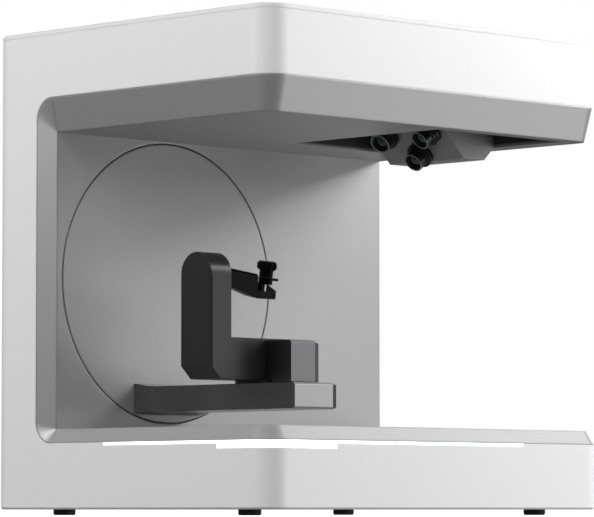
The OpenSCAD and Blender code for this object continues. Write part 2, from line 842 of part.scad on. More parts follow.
// What is cut off above and below the arm, so that only its root flares up and down
module arm_relief() {
    rise_r = (root_rise_l * root_rise_l + root_rise * root_rise) / (2 * root_rise);
    sink_r = (root_sink_l * root_sink_l + root_sink * root_sink) / (2 * root_sink);
    x0 = disc_x - root_w;
    x1 = disc_x + root_w;
    box([x0, y_nose - 1, z_arm1], [x1, y_wall - root_rise_l, z_arm1 + 10]);
    box([x0, y_nose - 1, z_arm0 - 10], [x1, y_wall - root_sink_l, z_arm0]);
    along_x(x0, y_wall - root_rise_l, z_arm1 + rise_r) cylinder(r = rise_r, h = x1 - x0, $fn = 360);
    along_x(x0, y_wall - root_sink_l, z_arm0 - sink_r) cylinder(r = sink_r, h = x1 - x0, $fn = 360);
}

// Bevels round the arm's front end, with its right corners cut back and the cuts running out
module arm_nose_cuts() {
    x1 = disc_x + arm_w / 2;
    end_cuts(x1, y_nose, z_arm1, 1.4);
    along_x(x1 - 100, y_nose, z_arm0) linear_extrude(200) mirror([0, 1, 0]) corner_cut(1.4, end_fall);
    translate([x1, y_nose, z_arm1]) rotate(-5) rotate([-90, 0, 0]) translate([0, 0, -5])
        linear_extrude(80) mirror([0, 1, 0]) corner_cut(5, 1.3);
    translate([x1, y_nose, z_arm0]) rotate(-5) rotate([-90, 0, 0]) translate([0, 0, -5])
        linear_extrude(60) corner_cut(3, 1.3);
}

module swing_arm() {
    color(black_metal) difference() {
        translate([disc_x, 0, z_arm0 - root_sink]) linear_extrude(arm_t + root_sink + root_rise)
            arm_outline();
        arm_relief();
        arm_nose_cuts();
        difference() {
            box([disc_x - arm_w / 2 + arm_wall, y_nose + arm_wall, z_arm0 - 1],
                [disc_x + arm_w / 2 - arm_wall, cavity_y1, z_cavity]);
            for (p = arm_screw_places) translate(p) translate([0, 0, z_arm0 + cover_t])
                cylinder(r = boss_r, h = arm_t, $fn = 48);
            translate([disc_x, spin_y, z_arm1 - 8]) cylinder(r = 9, h = 10);
        }
        translate([disc_x, spin_y, 0]) cylinder(r = bush_r + 0.02, h = z_top);
        for (p = arm_screw_places)
            translate(p) translate([0, 0, z_arm0]) cylinder(r = 1.27, h = 12, $fn = 32);
        box([disc_x - 8, cavity_y1 - 1, z_arm0 + 3.5], [disc_x + 8, y_wall + 1, z_cavity - 1.2]);
        for (p = arm_bolt_places) along_y(p.x, y_disc_back - 16, p.y) cylinder(r = 2.02, h = 20, $fn = 32);
    }
}

module arm_cover() {
    color(black_metal) difference() {
        box([disc_x - arm_w / 2 + arm_wall + 0.2, y_nose + arm_wall + 0.2, z_arm0],
            [disc_x + arm_w / 2 - arm_wall - 0.2, cavity_y1 - 0.2, z_arm0 + cover_t]);
        for (p = arm_screw_places) translate(p) {
            cylinder(r = 2.3, h = z_arm0 + 1.1, $fn = 32);
            cylinder(r = 1.27, h = z_top, $fn = 32);
        }
    }
}

module arm_screws() {
    color(zinc_steel) for (p = arm_screw_places) translate(p) translate([0, 0, z_arm0 + 0.1])
        screw(2.2, 1, screw_r, 8);
}

// ---- turntable ----

module turntable_bush() {
    color(brass_gold) translate([disc_x, spin_y, 0]) difference() {
        union() {
            translate([0, 0, z_arm1 - 8 - 1.5]) cylinder(r = bush_flange_r, h = 1.5);
            translate([0, 0, z_arm1 - 8 - eps]) cylinder(r = bush_r, h = 8 + 0.1);
        }
        cylinder(r = spindle_r + fit, h = z_top, $fn = 64);
    }
}

module turntable_hub() {
    color(black_metal) difference() {
        translate([disc_x, spin_y, 0]) {
            translate([0, 0, z_table0]) cylinder(d = table_d, h = table_t, $fn = 120);
            translate([0, 0, z_gear0]) cylinder(r = spindle_r, h = z_table0 - z_gear0 + eps, $fn = 64);
        }
        for (x = [-1, 1])
            translate([disc_x + 9 * x, spin_y, z_table0 - 1]) cylinder(r = 1.52, h = 20, $fn = 32);
    }
}

module turntable_gear() {
    color(brass_gold) translate([disc_x, spin_y, z_gear0]) linear_extrude(table_gear_t) difference() {
        gear_outline(table_teeth, table_module);
        circle(r = spindle_r + 0.02, $fn = 64);
    }
}

module turntable_motor() {
    z0 = z_gear0 + table_gear_t + 0.5;
    color(plain_steel) translate([disc_x, spin_y + table_centres, z0]) difference() {
        cylinder(r = table_motor_r, h = z_cavity - z0);
        translate([0, 0, -1]) cylinder(r = pinion_shaft_r + fit, h = 8, $fn = 32);
    }
}

// The small pinion and its motor shaft turn as one piece
module turntable_pinion() {
    color(brass_gold) translate([disc_x, spin_y + table_centres, z_gear0]) {
        rotate(180 / table_pinion_teeth) linear_extrude(table_gear_t)
            gear_outline(table_pinion_teeth, table_module);
        cylinder(r = pinion_shaft_r, h = 9, $fn = 32);
    }
}

// ---- holder on the turntable ----

module holder_bracket() {
    z0 = z_table1;
    color(black_metal) difference() {
        union() {
            box([x_column, bracket_y0, z0], [x_column + column_w, bracket_y0 + bracket_t, z_tilt]);
            along_x(x_column, spin_y, z_tilt) cylinder(d = bracket_t, h = column_w, $fn = 120);
            box([x_column, bracket_y0, z0], [foot_x1, bracket_y0 + bracket_t, foot_top]);
        }
        // bevel up the outer front edge, running out at the arch
        hull() {
            translate([x_column, bracket_y0, z0 - 1]) linear_extrude(z_tilt - z0 - 2)
                rotate(180) corner_cut(bracket_run, bracket_bevel);
            translate([x_column - 0.2, bracket_y0 - 0.2, z_tilt + 6]) cube(0.1);
        }
        translate([x_column, 0, z0]) rotate([0, 45, 0])
            cube([bracket_cut * sqrt(2), 200, bracket_cut * sqrt(2)], center = true);
        along_x(x_column + 4, spin_y, z_tilt) cylinder(d = clamp_shaft_d + 2 * fit, h = column_w, $fn = 96);
        for (x = [-1, 1]) translate([disc_x + 9 * x, spin_y, 0]) {
            cylinder(r = 1.52, h = z_top, $fn = 32);
            translate([0, 0, z0 + 6]) cylinder(r = 3.1, h = z_top, $fn = 32);
        }
        for (x = block_screw_x) {
            along_y(x, -200, block_screw_z) cylinder(r = 1.52, h = 400, $fn = 32);
            along_y(x, bracket_y0 + 10, block_screw_z) cylinder(r = 3.1, h = 200, $fn = 32);
        }
    }
}

module mount_block() {
    x0 = foot_x1 - block_w;
    color(black_metal) difference() {
        union() {
            box([x0, block_y0, z_table1], [foot_x1, bracket_y0, block_top]);
            box([x0, block_y0, z_arm1 + 0.6], [foot_x1, block_skirt_y, z_table1 + eps]);
        }
        end_cuts(foot_x1, block_y0, block_top, 2);
        // upper right edge cut back
        along_y(foot_x1, block_y0 - 1, block_top) linear_extrude(100) mirror([0, 1, 0])
            corner_cut(5.5, 2.5);
        for (x = block_screw_x)
            along_y(x, bracket_y0 - 10, block_screw_z) cylinder(r = 1.52, h = 40, $fn = 32);
    }
}

module block_screws() {
    color(zinc_steel) {
        for (x = [-1, 1]) translate([disc_x + 9 * x, spin_y, 0]) {
            translate([0, 0, z_table0 + 0.2]) cylinder(r = 1.5, h = table_t + 6, $fn = 32);
            translate([0, 0, z_table1 + 6]) cylinder(r = 3, h = 3, $fn = 32);
        }
        for (x = block_screw_x) {
            along_y(x, bracket_y0 - 9, block_screw_z) cylinder(r = 1.5, h = 19 + eps, $fn = 32);
            along_y(x, bracket_y0 + 10, block_screw_z) cylinder(r = 3, h = 3, $fn = 32);
        }
    }
}

// ---- clamp ----

// Children drawn upright, swivelled about the shaft's axis
module swivelled() {
    translate([0, spin_y, z_tilt]) rotate([clamp_lean, 0, 0]) translate([0, -spin_y, -z_tilt])
        children();
}

module clamp_arm() {
    x0 = x_column + column_w + 0.3;
    color(black_metal) swivelled() difference() {
        union() {
            // web behind the stud
            translate([0, spin_y + clamp_t / 2, 0]) rotate([90, 0, 0]) linear_extrude(clamp_t / 2 - 2.3)
                polygon([
                    [x0, z_tilt - 4.7], [disc_x - 12.9, z_tilt - 13.6], [disc_x - 7.7, z_jaw0],
                    [x_tip, z_jaw0], [x_tip, z_jaw1 + 0.2], [disc_x + 3.7, z_tilt - 3.6],
                    [disc_x - 4.8, z_tilt - 3.6], [disc_x - 6.3, z_tilt + 1.2],
                    [x_root, z_tilt + 2.6], [x0, z_root_top]
                ]);
            // thick root, bevelled along its upper edges
            difference() {
                translate([0, spin_y + clamp_t / 2, 0]) rotate([90, 0, 0]) linear_extrude(clamp_t)
                    polygon([
                        [x0, z_tilt - 4.7], [disc_x - 12.9, z_tilt - 13.6], [x_root, z_tilt - 14.1],
                        [x_root, z_tilt + 2.6], [x0, z_root_top]
                    ]);
                for (y = [-1, 1]) translate([x0, spin_y + y * clamp_t / 2, z_root_top])
                    rotate([0, top_slope, 0]) rotate([45, 0, 0])
                        cube([120, 2 * sqrt(2), 2 * sqrt(2)], center = true);
            }
            // lower jaw, cut back at its front corner
            translate([0, spin_y, z_jaw0]) linear_extrude(z_jaw1 - z_jaw0) polygon([
                [disc_x - 7.7, -clamp_t / 2], [x_jaw, -clamp_t / 2], [x_tip, 2.3],
                [x_tip, clamp_t / 2], [disc_x - 7.7, clamp_t / 2]
            ]);
            translate([0, spin_y + clamp_t / 2, 0]) rotate([90, 0, 0]) linear_extrude(clamp_t)
                polygon([
                    [x_root - eps, z_tilt - 14.1], [disc_x - 7.7 + eps, z_jaw0],
                    [disc_x - 7.7 + eps, z_jaw1], [x_root - eps, z_jaw1]
                ]);
            along_x(x_column + 4.3, spin_y, z_tilt) cylinder(d = clamp_shaft_d, h = column_w - 3.8);
        }
        translate([stud_x, spin_y, z_jaw0 + 1]) cylinder(d = stud_d + 0.04, h = 40, $fn = 48);
    }
}

module clamp_stud() {
    color(plain_steel) swivelled() translate([stud_x, spin_y, z_jaw0 + 1])
        cylinder(d = stud_d, h = z_nut_top - 6 - z_jaw0, $fn = 48);
}

// The upper jaw slides on the stud, its boss in front of the clamp arm's web
module clamp_jaw() {
    color(black_metal) swivelled() difference() {
        union() {
            intersection() {
                translate([stud_x, spin_y, z_grip]) cylinder(d = boss_d, h = z_nut - 0.1 - z_grip);
                box([disc_x - 20, spin_y - 20, 0], [disc_x + 20, web_y - 0.3, z_top]);
            }
            box([stud_x, spin_y - 3, blade_z0], [disc_x + 10.6, web_y - 0.3, blade_z1]);
        }
        translate([stud_x, spin_y, 0]) cylinder(d = stud_d + 2 * fit, h = z_top, $fn = 48);
    }
}

module clamp_knob() {
    lobes = 6;
    edge = 1.5;
    color(black_metal) swivelled() translate([stud_x, spin_y, 0]) difference() {
        union() {
            translate([0, 0, z_nut]) cylinder(d = neck_d, h = z_nut_head - z_nut + eps);
            difference() {
                union() {
                    translate([0, 0, z_nut_head]) cylinder(d1 = knob_d - 2 * edge, d2 = knob_d, h = edge);
                    translate([0, 0, z_nut_head + edge])
                        cylinder(d = knob_d, h = z_nut_top - z_nut_head - 2 * edge);
                    translate([0, 0, z_nut_top - edge])
                        cylinder(d1 = knob_d, d2 = knob_d - 2 * edge, h = edge);
                }
                for (i = [0 : lobes - 1]) rotate((i + 0.5) * 360 / lobes)
                    translate([knob_d / 2 + 1.4, 0, 0]) cylinder(r = 2.6, h = z_top, $fn = 48);
            }
        }
        cylinder(d = stud_d + 2 * fit, h = z_nut_top - 1.2, $fn = 48);
    }
}

// ---- scan module ----

module recess_tray() {
    color(black_plastic) {
        difference() {
            box([recess_x0 - 2, recess_y0 - 2, z_ceiling + liner_t],
                [recess_x1 + 2, recess_y1 + 2, z_recess + 2]);
            box([recess_x0, recess_y0, 0], [recess_x1, recess_y1, z_recess]);
        }
        // tabs that the module is screwed to
        for (p = pod_screw_places) for (y = [pod_y0 + pod_wall + 0.05, pod_y1 - pod_wall - 2.25])
            difference() {
                box([p.x - 4, y, p.y - 3], [p.x + 1.9, y + 2.2, z_recess + eps]);
                along_y(p.x, y - 1, p.y) cylinder(r = 1.27, h = 5, $fn = 32);
            }
    }
}

// The module's outside: two slanted faces, a narrow flat between them and an upright side
module pod_block() {
    rise = z_recess - z_pod;
    translate([0, pod_y1, 0]) rotate([90, 0, 0]) linear_extrude(pod_y1 - pod_y0) polygon([
        [pod_x0 - rise, z_recess], [pod_x0, z_pod], [pod_x1, z_pod],
        [pod_x2, z_pod + pod_rise], [pod_x2, z_recess]
    ]);
}

module scan_pod() {
    in_x = pod_wall * sqrt(2);
    rise = z_recess - z_pod;
    color(liner_grey) difference() {
        pod_block();
        translate([0, pod_y1 - pod_wall, 0]) rotate([90, 0, 0])
            linear_extrude(pod_y1 - pod_y0 - 2 * pod_wall) polygon([
                [pod_x0 - rise + in_x - 1, z_recess + 1], [pod_x0 + in_x - pod_wall, z_pod + pod_wall],
                [pod_x1 - 1, z_pod + pod_wall], [pod_x2 - pod_side_wall, z_pod + pod_rise + 1.1],
                [pod_x2 - pod_side_wall, z_recess + 1]
            ]);
        for (p = pod_screw_places) along_y(p.x, -200, p.y) cylinder(r = 1.27, h = 400, $fn = 32);
        at_lens(rear_lens, camera_target) cylinder(d = camera_d + 0.04, h = barrel_l);
        at_lens(front_lens, camera_target) cylinder(d = camera_d + 0.04, h = barrel_l);
        at_lens(projector_lens, projector_target) cylinder(d = projector_d + 0.04, h = barrel_l);
    }
}

module pod_screws() {
    color(zinc_steel) for (p = pod_screw_places) {
        translate([p.x, pod_y0 - 0.8, p.y]) rotate([-90, 0, 0]) screw(1.9, 0.8, 1.25, 5);
        translate([p.x, pod_y1 + 0.8, p.y]) rotate([90, 0, 0]) screw(1.9, 0.8, 1.25, 5);
    }
}

// A barrel with a stepped mouth, whose collars end on the module's slanted face
module barrel(lens, target, d) {
    difference() {
        union() {
            at_lens(lens, target) cylinder(d = d, h = barrel_l);
            difference() {
                at_lens(lens, target) {
                    translate([0, 0, 6.2]) cylinder(d = d + collar_step / 2, h = 3);
                    translate([0, 0, 8.2]) cylinder(d = d + collar_step, h = 7);
                }
                pod_block();
            }
        }
        at_lens(lens, target) {
            translate([0, 0, -1]) cylinder(d = d - 2.8, h = 2.6);
            translate([0, 0, -1]) cylinder(d = d - 4.8, h = barrel_l - 1.5);
        }
    }
}

module front_camera_barrel() {
    color(black_metal) barrel(front_lens, camera_target, camera_d);
}

module rear_camera_barrel() {
    color(black_metal) barrel(rear_lens, camera_target, camera_d);
}

module projector_barrel() {
    color(black_metal) barrel(projector_lens, projector_target, projector_d);
}

module glass(lens, target, d) {
    at_lens(lens, target) translate([0, 0, 2]) cylinder(d = d - 4.84, h = 2.5);
}

module lens_glasses() {
    color(glass_green) {
        glass(front_lens, camera_target, camera_d);
        glass(rear_lens, camera_target, camera_d);
        glass(projector_lens, projector_target, projector_d);
    }
}

module sensor_boards() {
    color(board_green) {
        at_lens(front_lens, camera_target) translate([-7, -7, barrel_l]) cube([14, 14, 1.2]);
        at_lens(rear_lens, camera_target) translate([-7, -7, barrel_l]) cube([14, 14, 1.2]);
        at_lens(projector_lens, projector_target) translate([-7, -7, barrel_l]) cube([14, 14, 1.2]);
    }
}

outer_shell();
top_cover();
rear_panel();
rear_panel_screws();
bottom_plate();
rubber_feet();
foot_screws();
deck_liner();
head_liner();
wall_liner();
light_strip();
light_boards();
spine_frame();
head_frame();
recess_tray();
scan_pod();
pod_screws();
front_camera_barrel();
rear_camera_barrel();
projector_barrel();
lens_glasses();
sensor_boards();
main_board();
board_standoffs();
power_supply();
power_inlet();
inlet_pins();
switch_frame();
power_rocker();
data_port();
fan_frame();
fan_rotor();
bearing_housing();
bearing_outer_ring();
bearing_balls();
bearing_inner_ring();
swing_hub();
bearing_nut();
swing_disc();
disc_segment();
ring_gear();
hub_screws();
swing_arm();
arm_bolts();
arm_cover();
arm_screws();
turntable_bush();
turntable_motor();
turntable_pinion();
turntable_hub();
turntable_gear();
mount_block();
holder_bracket();
block_screws();
clamp_arm();
clamp_stud();
clamp_jaw();
clamp_knob();
tilt_motor();
tilt_pinion();
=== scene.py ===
# Desktop 3d scanner: finishes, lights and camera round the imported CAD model, in metres.
import math

import bmesh
import bpy
import numpy as np
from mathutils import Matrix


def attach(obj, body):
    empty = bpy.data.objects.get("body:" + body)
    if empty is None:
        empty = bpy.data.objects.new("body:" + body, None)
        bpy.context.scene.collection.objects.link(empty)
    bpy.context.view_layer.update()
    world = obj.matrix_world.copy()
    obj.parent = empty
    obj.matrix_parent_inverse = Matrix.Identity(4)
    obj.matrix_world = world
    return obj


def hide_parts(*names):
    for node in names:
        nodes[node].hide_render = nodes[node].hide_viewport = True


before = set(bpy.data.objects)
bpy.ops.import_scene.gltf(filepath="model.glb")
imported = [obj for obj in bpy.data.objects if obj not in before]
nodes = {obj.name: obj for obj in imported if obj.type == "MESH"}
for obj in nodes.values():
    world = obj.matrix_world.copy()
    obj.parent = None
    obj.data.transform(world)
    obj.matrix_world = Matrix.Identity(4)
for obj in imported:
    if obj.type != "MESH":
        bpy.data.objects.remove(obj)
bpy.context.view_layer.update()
print("frame loaded:", len(nodes), "nodes")

scene = bpy.context.scene

# camera, where the photograph was taken from
camera = dict(place=(-1.9393, -1.9684, 0.0033), lookUp=3.723, turn=-44.54, lens=234.67)

cameraData = bpy.data.cameras.new("photoCamera")
cameraData.lens = camera["lens"]
cameraData.sensor_width = 36
cameraData.clip_start, cameraData.clip_end = 0.1, 50
cameraObject = bpy.data.objects.new("photoCamera", cameraData)
cameraObject.location = camera["place"]
cameraObject.rotation_euler = (math.radians(90 + camera["lookUp"]), 0, math.radians(camera["turn"]))
scene.collection.objects.link(cameraObject)
scene.camera = cameraObject
print("camera set")


# finishes
def newFinish(name):
    finish = bpy.data.materials.new(name)
    finish.use_nodes = True
    tree = finish.node_tree
    tree.nodes.clear()
    return finish, tree


def addNode(tree, kind, **values):
    node = tree.nodes.new(kind)
    for key, value in values.items():
        if hasattr(node, key):
            setattr(node, key, value)
        else:
            node.inputs[key].default_value = value
    return node


def link(tree, a, out, b, into):
    tree.links.new(a.outputs[out], b.inputs[into])


def satinFinish(name, colour, shade, rough, roughSpread, grain, grainDepth, edge=0.0004,
                metal=0.0, streak=None, paintedHighlightColour=None, specular=0.5, paintedTopShade=1.0):
    # fine grain as bump, slow cloudy change of colour and gloss, softened edges;
    # faces that look up get their colour scaled down as painted shade, and an edge colour paints a highlight
    # along edges
    finish, tree = newFinish(name)
    where = addNode(tree, "ShaderNodeTexCoord")
    source, out = where, "Object"
    if streak:
        stretch = addNode(tree, "ShaderNodeMapping")
        stretch.inputs["Scale"].default_value = streak
        link(tree, where, "Object", stretch, "Vector")
        source, out = stretch, "Vector"
    fine = addNode(tree, "ShaderNodeTexNoise", Scale=grain, Detail=3.0, Roughness=0.6)
    link(tree, source, out, fine, "Vector")
    slow = addNode(tree, "ShaderNodeTexNoise", Scale=7.0, Detail=4.0, Roughness=0.55)
    link(tree, where, "Object", slow, "Vector")
    tone = addNode(tree, "ShaderNodeValToRGB")
    low, high = tone.color_ramp.elements
    low.position, high.position = 0.3, 0.7
    low.color = (*[c * (1 - shade) for c in colour], 1)
    high.color = (*[min(1.0, c * (1 + shade)) for c in colour], 1)
    link(tree, slow, "Fac", tone, "Fac")
    facing = addNode(tree, "ShaderNodeSeparateXYZ")
    link(tree, where, "Normal", facing, "Vector")
    # painted shade: colour scaled down on faces whose object-space normal looks up
    paintedTopShadeRange = addNode(tree, "ShaderNodeMapRange")
    paintedTopShadeRange.inputs["From Min"].default_value = 0.05
    paintedTopShadeRange.inputs["From Max"].default_value = 0.3
    paintedTopShadeRange.inputs["To Min"].default_value = 1.0
    paintedTopShadeRange.inputs["To Max"].default_value = paintedTopShade
    link(tree, facing, "Z", paintedTopShadeRange, "Value")
    tint = addNode(tree, "ShaderNodeVectorMath", operation="SCALE")
    link(tree, tone, "Color", tint, 0)
    link(tree, paintedTopShadeRange, "Result", tint, "Scale")
    gloss = addNode(tree, "ShaderNodeMapRange")
    gloss.inputs["To Min"].default_value = rough - roughSpread
    gloss.inputs["To Max"].default_value = rough + roughSpread
    link(tree, fine, "Fac", gloss, "Value")
    soft = addNode(tree, "ShaderNodeBevel", samples=4, Radius=edge)
    bump = addNode(tree, "ShaderNodeBump", Strength=1.0, Distance=grainDepth)
    link(tree, fine, "Fac", bump, "Height")
    link(tree, soft, "Normal", bump, "Normal")
    shader = addNode(tree, "ShaderNodeBsdfPrincipled", Metallic=metal)
    shader.inputs["Specular IOR Level"].default_value = specular
    link(tree, gloss, "Result", shader, "Roughness")
    link(tree, bump, "Normal", shader, "Normal")
    if paintedHighlightColour:
        # painted highlight: edges get a lighter colour where the softened normal leaves the true one
        shape = addNode(tree, "ShaderNodeNewGeometry")
        lean = addNode(tree, "ShaderNodeVectorMath", operation="DOT_PRODUCT")
        link(tree, soft, "Normal", lean, 0)
        link(tree, shape, "True Normal", lean, 1)
        paintedHighlightMask = addNode(tree, "ShaderNodeMapRange")
        paintedHighlightMask.inputs["From Min"].default_value = 0.995
        paintedHighlightMask.inputs["From Max"].default_value = 0.85
        link(tree, lean, "Value", paintedHighlightMask, "Value")
        paintedHighlightMix = addNode(tree, "ShaderNodeMix", data_type="RGBA")
        link(tree, paintedHighlightMask, "Result", paintedHighlightMix, "Factor")
        tree.links.new(tint.outputs["Vector"], paintedHighlightMix.inputs[6])
        tree.links.new(paintedHighlightMix.outputs[2], shader.inputs["Base Color"])
        paintedHighlightMix.inputs[7].default_value = (*paintedHighlightColour, 1)
    else:
        link(tree, tint, "Vector", shader, "Base Color")
    end = addNode(tree, "ShaderNodeOutputMaterial")
    link(tree, shader, "BSDF", end, "Surface")
    return finish


def lampFinish(name, colour, strength):
    # milky strip that glows a little
    finish, tree = newFinish(name)
    where = addNode(tree, "ShaderNodeTexCoord")
    cloud = addNode(tree, "ShaderNodeTexNoise", Scale=60.0, Detail=2.0)
    link(tree, where, "Object", cloud, "Vector")
    gloss = addNode(tree, "ShaderNodeMapRange")
    gloss.inputs["To Min"].default_value = 0.3
    gloss.inputs["To Max"].default_value = 0.45
    link(tree, cloud, "Fac", gloss, "Value")
    bump = addNode(tree, "ShaderNodeBump", Strength=0.2, Distance=0.0001)
    link(tree, cloud, "Fac", bump, "Height")
    shader = addNode(tree, "ShaderNodeBsdfPrincipled")
    shader.inputs["Base Color"].default_value = (*colour, 1)
    shader.inputs["Emission Color"].default_value = (*colour, 1)
    shader.inputs["Emission Strength"].default_value = strength
    link(tree, gloss, "Result", shader, "Roughness")
    link(tree, bump, "Normal", shader, "Normal")
    end = addNode(tree, "ShaderNodeOutputMaterial")
    link(tree, shader, "BSDF", end, "Surface")
    return finish


def lensFinish(name, colour):
    finish, tree = newFinish(name)
    where = addNode(tree, "ShaderNodeTexCoord")
    film = addNode(tree, "ShaderNodeTexNoise", Scale=40.0, Detail=1.0)
    link(tree, where, "Object", film, "Vector")
    gloss = addNode(tree, "ShaderNodeMapRange")
    gloss.inputs["To Min"].default_value = 0.02
    gloss.inputs["To Max"].default_value = 0.05
    link(tree, film, "Fac", gloss, "Value")
    shader = addNode(tree, "ShaderNodeBsdfPrincipled")
    shader.inputs["Base Color"].default_value = (*colour, 1)
    shader.inputs["Coat Weight"].default_value = 1.0
    shader.inputs["Coat Tint"].default_value = (0.55, 1.0, 0.85, 1)
    link(tree, gloss, "Result", shader, "Roughness")
    end = addNode(tree, "ShaderNodeOutputMaterial")
    link(tree, shader, "BSDF", end, "Surface")
    return finish


whiteShell = satinFinish("whiteShell", (0.90, 0.90, 0.905), 0.006, 0.45, 0.03, 1800, 0.00002, edge=0.0012,
                         specular=0.4)
greyLiner = satinFinish("greyLiner", (0.37, 0.37, 0.373), 0.008, 0.42, 0.03, 1600, 0.00002, edge=0.0018,
                        metal=0.5)
deckGrey = satinFinish("deckGrey", (0.40, 0.40, 0.403), 0.008, 0.5, 0.03, 1600, 0.00002, edge=0.0018,
                       metal=0.15, specular=0.3)
# near-black colour on the recess tray: painted shade for the dark inside of the head's recess
recessPaintedShade = satinFinish("recessPaintedShade", (0.04, 0.04, 0.041), 0.05, 0.6, 0.05, 1600, 0.00003)
rimGrey = satinFinish("rimGrey", (0.35, 0.36, 0.36), 0.05, 0.3, 0.04, 900, 0.00001, metal=0.9)
# the lighter edge colour is a painted highlight along the edges
blackAnodised = satinFinish("blackAnodised", (0.05, 0.05, 0.052), 0.08, 0.32, 0.04, 1500, 0.00002,
                            metal=0.9, paintedHighlightColour=(0.16, 0.16, 0.165))
bracketBlack = satinFinish("bracketBlack", (0.022, 0.022, 0.0223), 0.08, 0.3, 0.04, 1500, 0.00002,
                           metal=0.1, specular=0.45)
# the lighter edge colour is a painted highlight along the edges
clampBlack = satinFinish("clampBlack", (0.003, 0.003, 0.0031), 0.08, 0.3, 0.04, 1500, 0.00002,
                         metal=0.0, specular=0.05, paintedHighlightColour=(0.03, 0.03, 0.031))
# faces that look up are darkened in colour: painted shade
armSatin = satinFinish("armSatin", (0.29, 0.29, 0.295), 0.05, 0.2, 0.03, 1500, 0.00001, metal=1.0,
                       paintedTopShade=0.1)
# faces that look up are darkened in colour: painted shade
blockSatin = satinFinish("blockSatin", (0.17, 0.17, 0.175), 0.05, 0.3, 0.03, 1500, 0.00001, metal=1.0,
                         paintedTopShade=0.15)
blackPlastic = satinFinish("blackPlastic", (0.018, 0.018, 0.018), 0.1, 0.5, 0.05, 1400, 0.00004)
footRubber = satinFinish("footRubber", (0.012, 0.012, 0.012), 0.15, 0.75, 0.08, 1200, 0.00006)
sheetSteel = satinFinish("sheetSteel", (0.52, 0.53, 0.55), 0.06, 0.38, 0.06, 500, 0.00003, metal=1.0)
brightSteel = satinFinish("brightSteel", (0.72, 0.72, 0.74), 0.04, 0.22, 0.05, 900, 0.00001, metal=1.0,
                          streak=(1, 1, 12))
zincSteel = satinFinish("zincSteel", (0.72, 0.73, 0.75), 0.06, 0.3, 0.06, 900, 0.00002, metal=1.0)
motorBlack = satinFinish("motorBlack", (0.02, 0.02, 0.022), 0.1, 0.4, 0.06, 900, 0.00003)
brassGold = satinFinish("brassGold", (0.72, 0.54, 0.25), 0.06, 0.28, 0.05, 900, 0.00002, metal=1.0)
boardGreen = satinFinish("boardGreen", (0.03, 0.16, 0.08), 0.2, 0.35, 0.08, 500, 0.00004)
milkyStrip = lampFinish("milkyStrip", (0.98, 0.98, 0.97), 1.8)
coatedLens = lensFinish("coatedLens", (0.01, 0.03, 0.025))

finishOf = {
    whiteShell: ["outer_shell", "top_cover", "rear_panel"],
    greyLiner: ["head_liner", "wall_liner", "scan_pod", "swing_disc", "disc_segment"],
    deckGrey: ["deck_liner"],
    recessPaintedShade: ["recess_tray"],
    armSatin: ["swing_arm", "arm_cover"],
    blockSatin: ["mount_block"],
    blackAnodised: ["turntable_hub", "front_camera_barrel", "rear_camera_barrel", "projector_barrel"],
    bracketBlack: ["holder_bracket"],
    clampBlack: ["clamp_arm", "clamp_jaw", "clamp_knob"],
    blackPlastic: ["power_inlet", "switch_frame", "power_rocker", "fan_frame", "fan_rotor"],
    footRubber: ["rubber_feet"],
    sheetSteel: ["bottom_plate", "spine_frame", "head_frame", "power_supply", "data_port"],
    brightSteel: ["bearing_housing", "bearing_outer_ring", "bearing_balls", "bearing_inner_ring", "swing_hub",
                  "bearing_nut", "ring_gear", "clamp_stud", "tilt_pinion", "turntable_motor"],
    zincSteel: ["rear_panel_screws", "foot_screws", "pod_screws", "hub_screws", "arm_bolts", "arm_screws",
                "block_screws"],
    motorBlack: ["tilt_motor"],
    brassGold: ["board_standoffs", "inlet_pins", "turntable_bush", "turntable_gear", "turntable_pinion"],
    boardGreen: ["main_board", "light_boards", "sensor_boards"],
    milkyStrip: ["light_strip"],
    coatedLens: ["lens_glasses"],
}
for finish, names in finishOf.items():
    for name in names:
        nodes[name].data.materials.clear()
        nodes[name].data.materials.append(finish)
print("finishes given to the CAD nodes")


# lenses: domed glasses and the turned rims in front of them
lens = dict(
    looksAt=(-0.056, -0.0223, 0.155), projectorLooksAt=(-0.056, -0.0223, 0.130),
    rearCamera=(0.0806, -0.0022, 0.2705), frontCamera=(0.0807, -0.0419, 0.2704),
    projector=(0.0944, -0.0224, 0.2564), cameraWidth=0.0156, projectorWidth=0.0152,
    glassInset=0.00242, domeFront=0.0014, domeRim=0.0026, glassBack=0.0045,
    rimInset=0.0007, rimBack=0.00005, rimProud=0.0003, rimWidth=0.0013, around=96, domeSteps=12, rimSteps=9)


def turned(place, target, radii, depths, around):
    # a profile of radii and depths carried round the line from the target through the place:
    # point = place + depth * back + radius * (cos a * side + sin a * up)
    place, target = np.array(place), np.array(target)
    back = (place - target) / np.linalg.norm(place - target)
    side = np.cross(back, (0, 0, 1))
    side = side / np.linalg.norm(side)
    up = np.cross(side, back)
    angle = np.linspace(0, 2 * np.pi, around, endpoint=False)
    ring = np.cos(angle)[:, None] * side + np.sin(angle)[:, None] * up
    radii, depths = np.array(radii), np.array(depths)
    points = place + depths[:, None, None] * back + radii[:, None, None] * ring[None]
    row, column = np.meshgrid(np.arange(len(radii) - 1), np.arange(around), indexing="ij")
    following = (column + 1) % around
    faces = np.stack([row * around + column, (row + 1) * around + column,
                      (row + 1) * around + following, row * around + following], axis=-1)
    return points.reshape(-1, 3), faces.reshape(-1, 4)


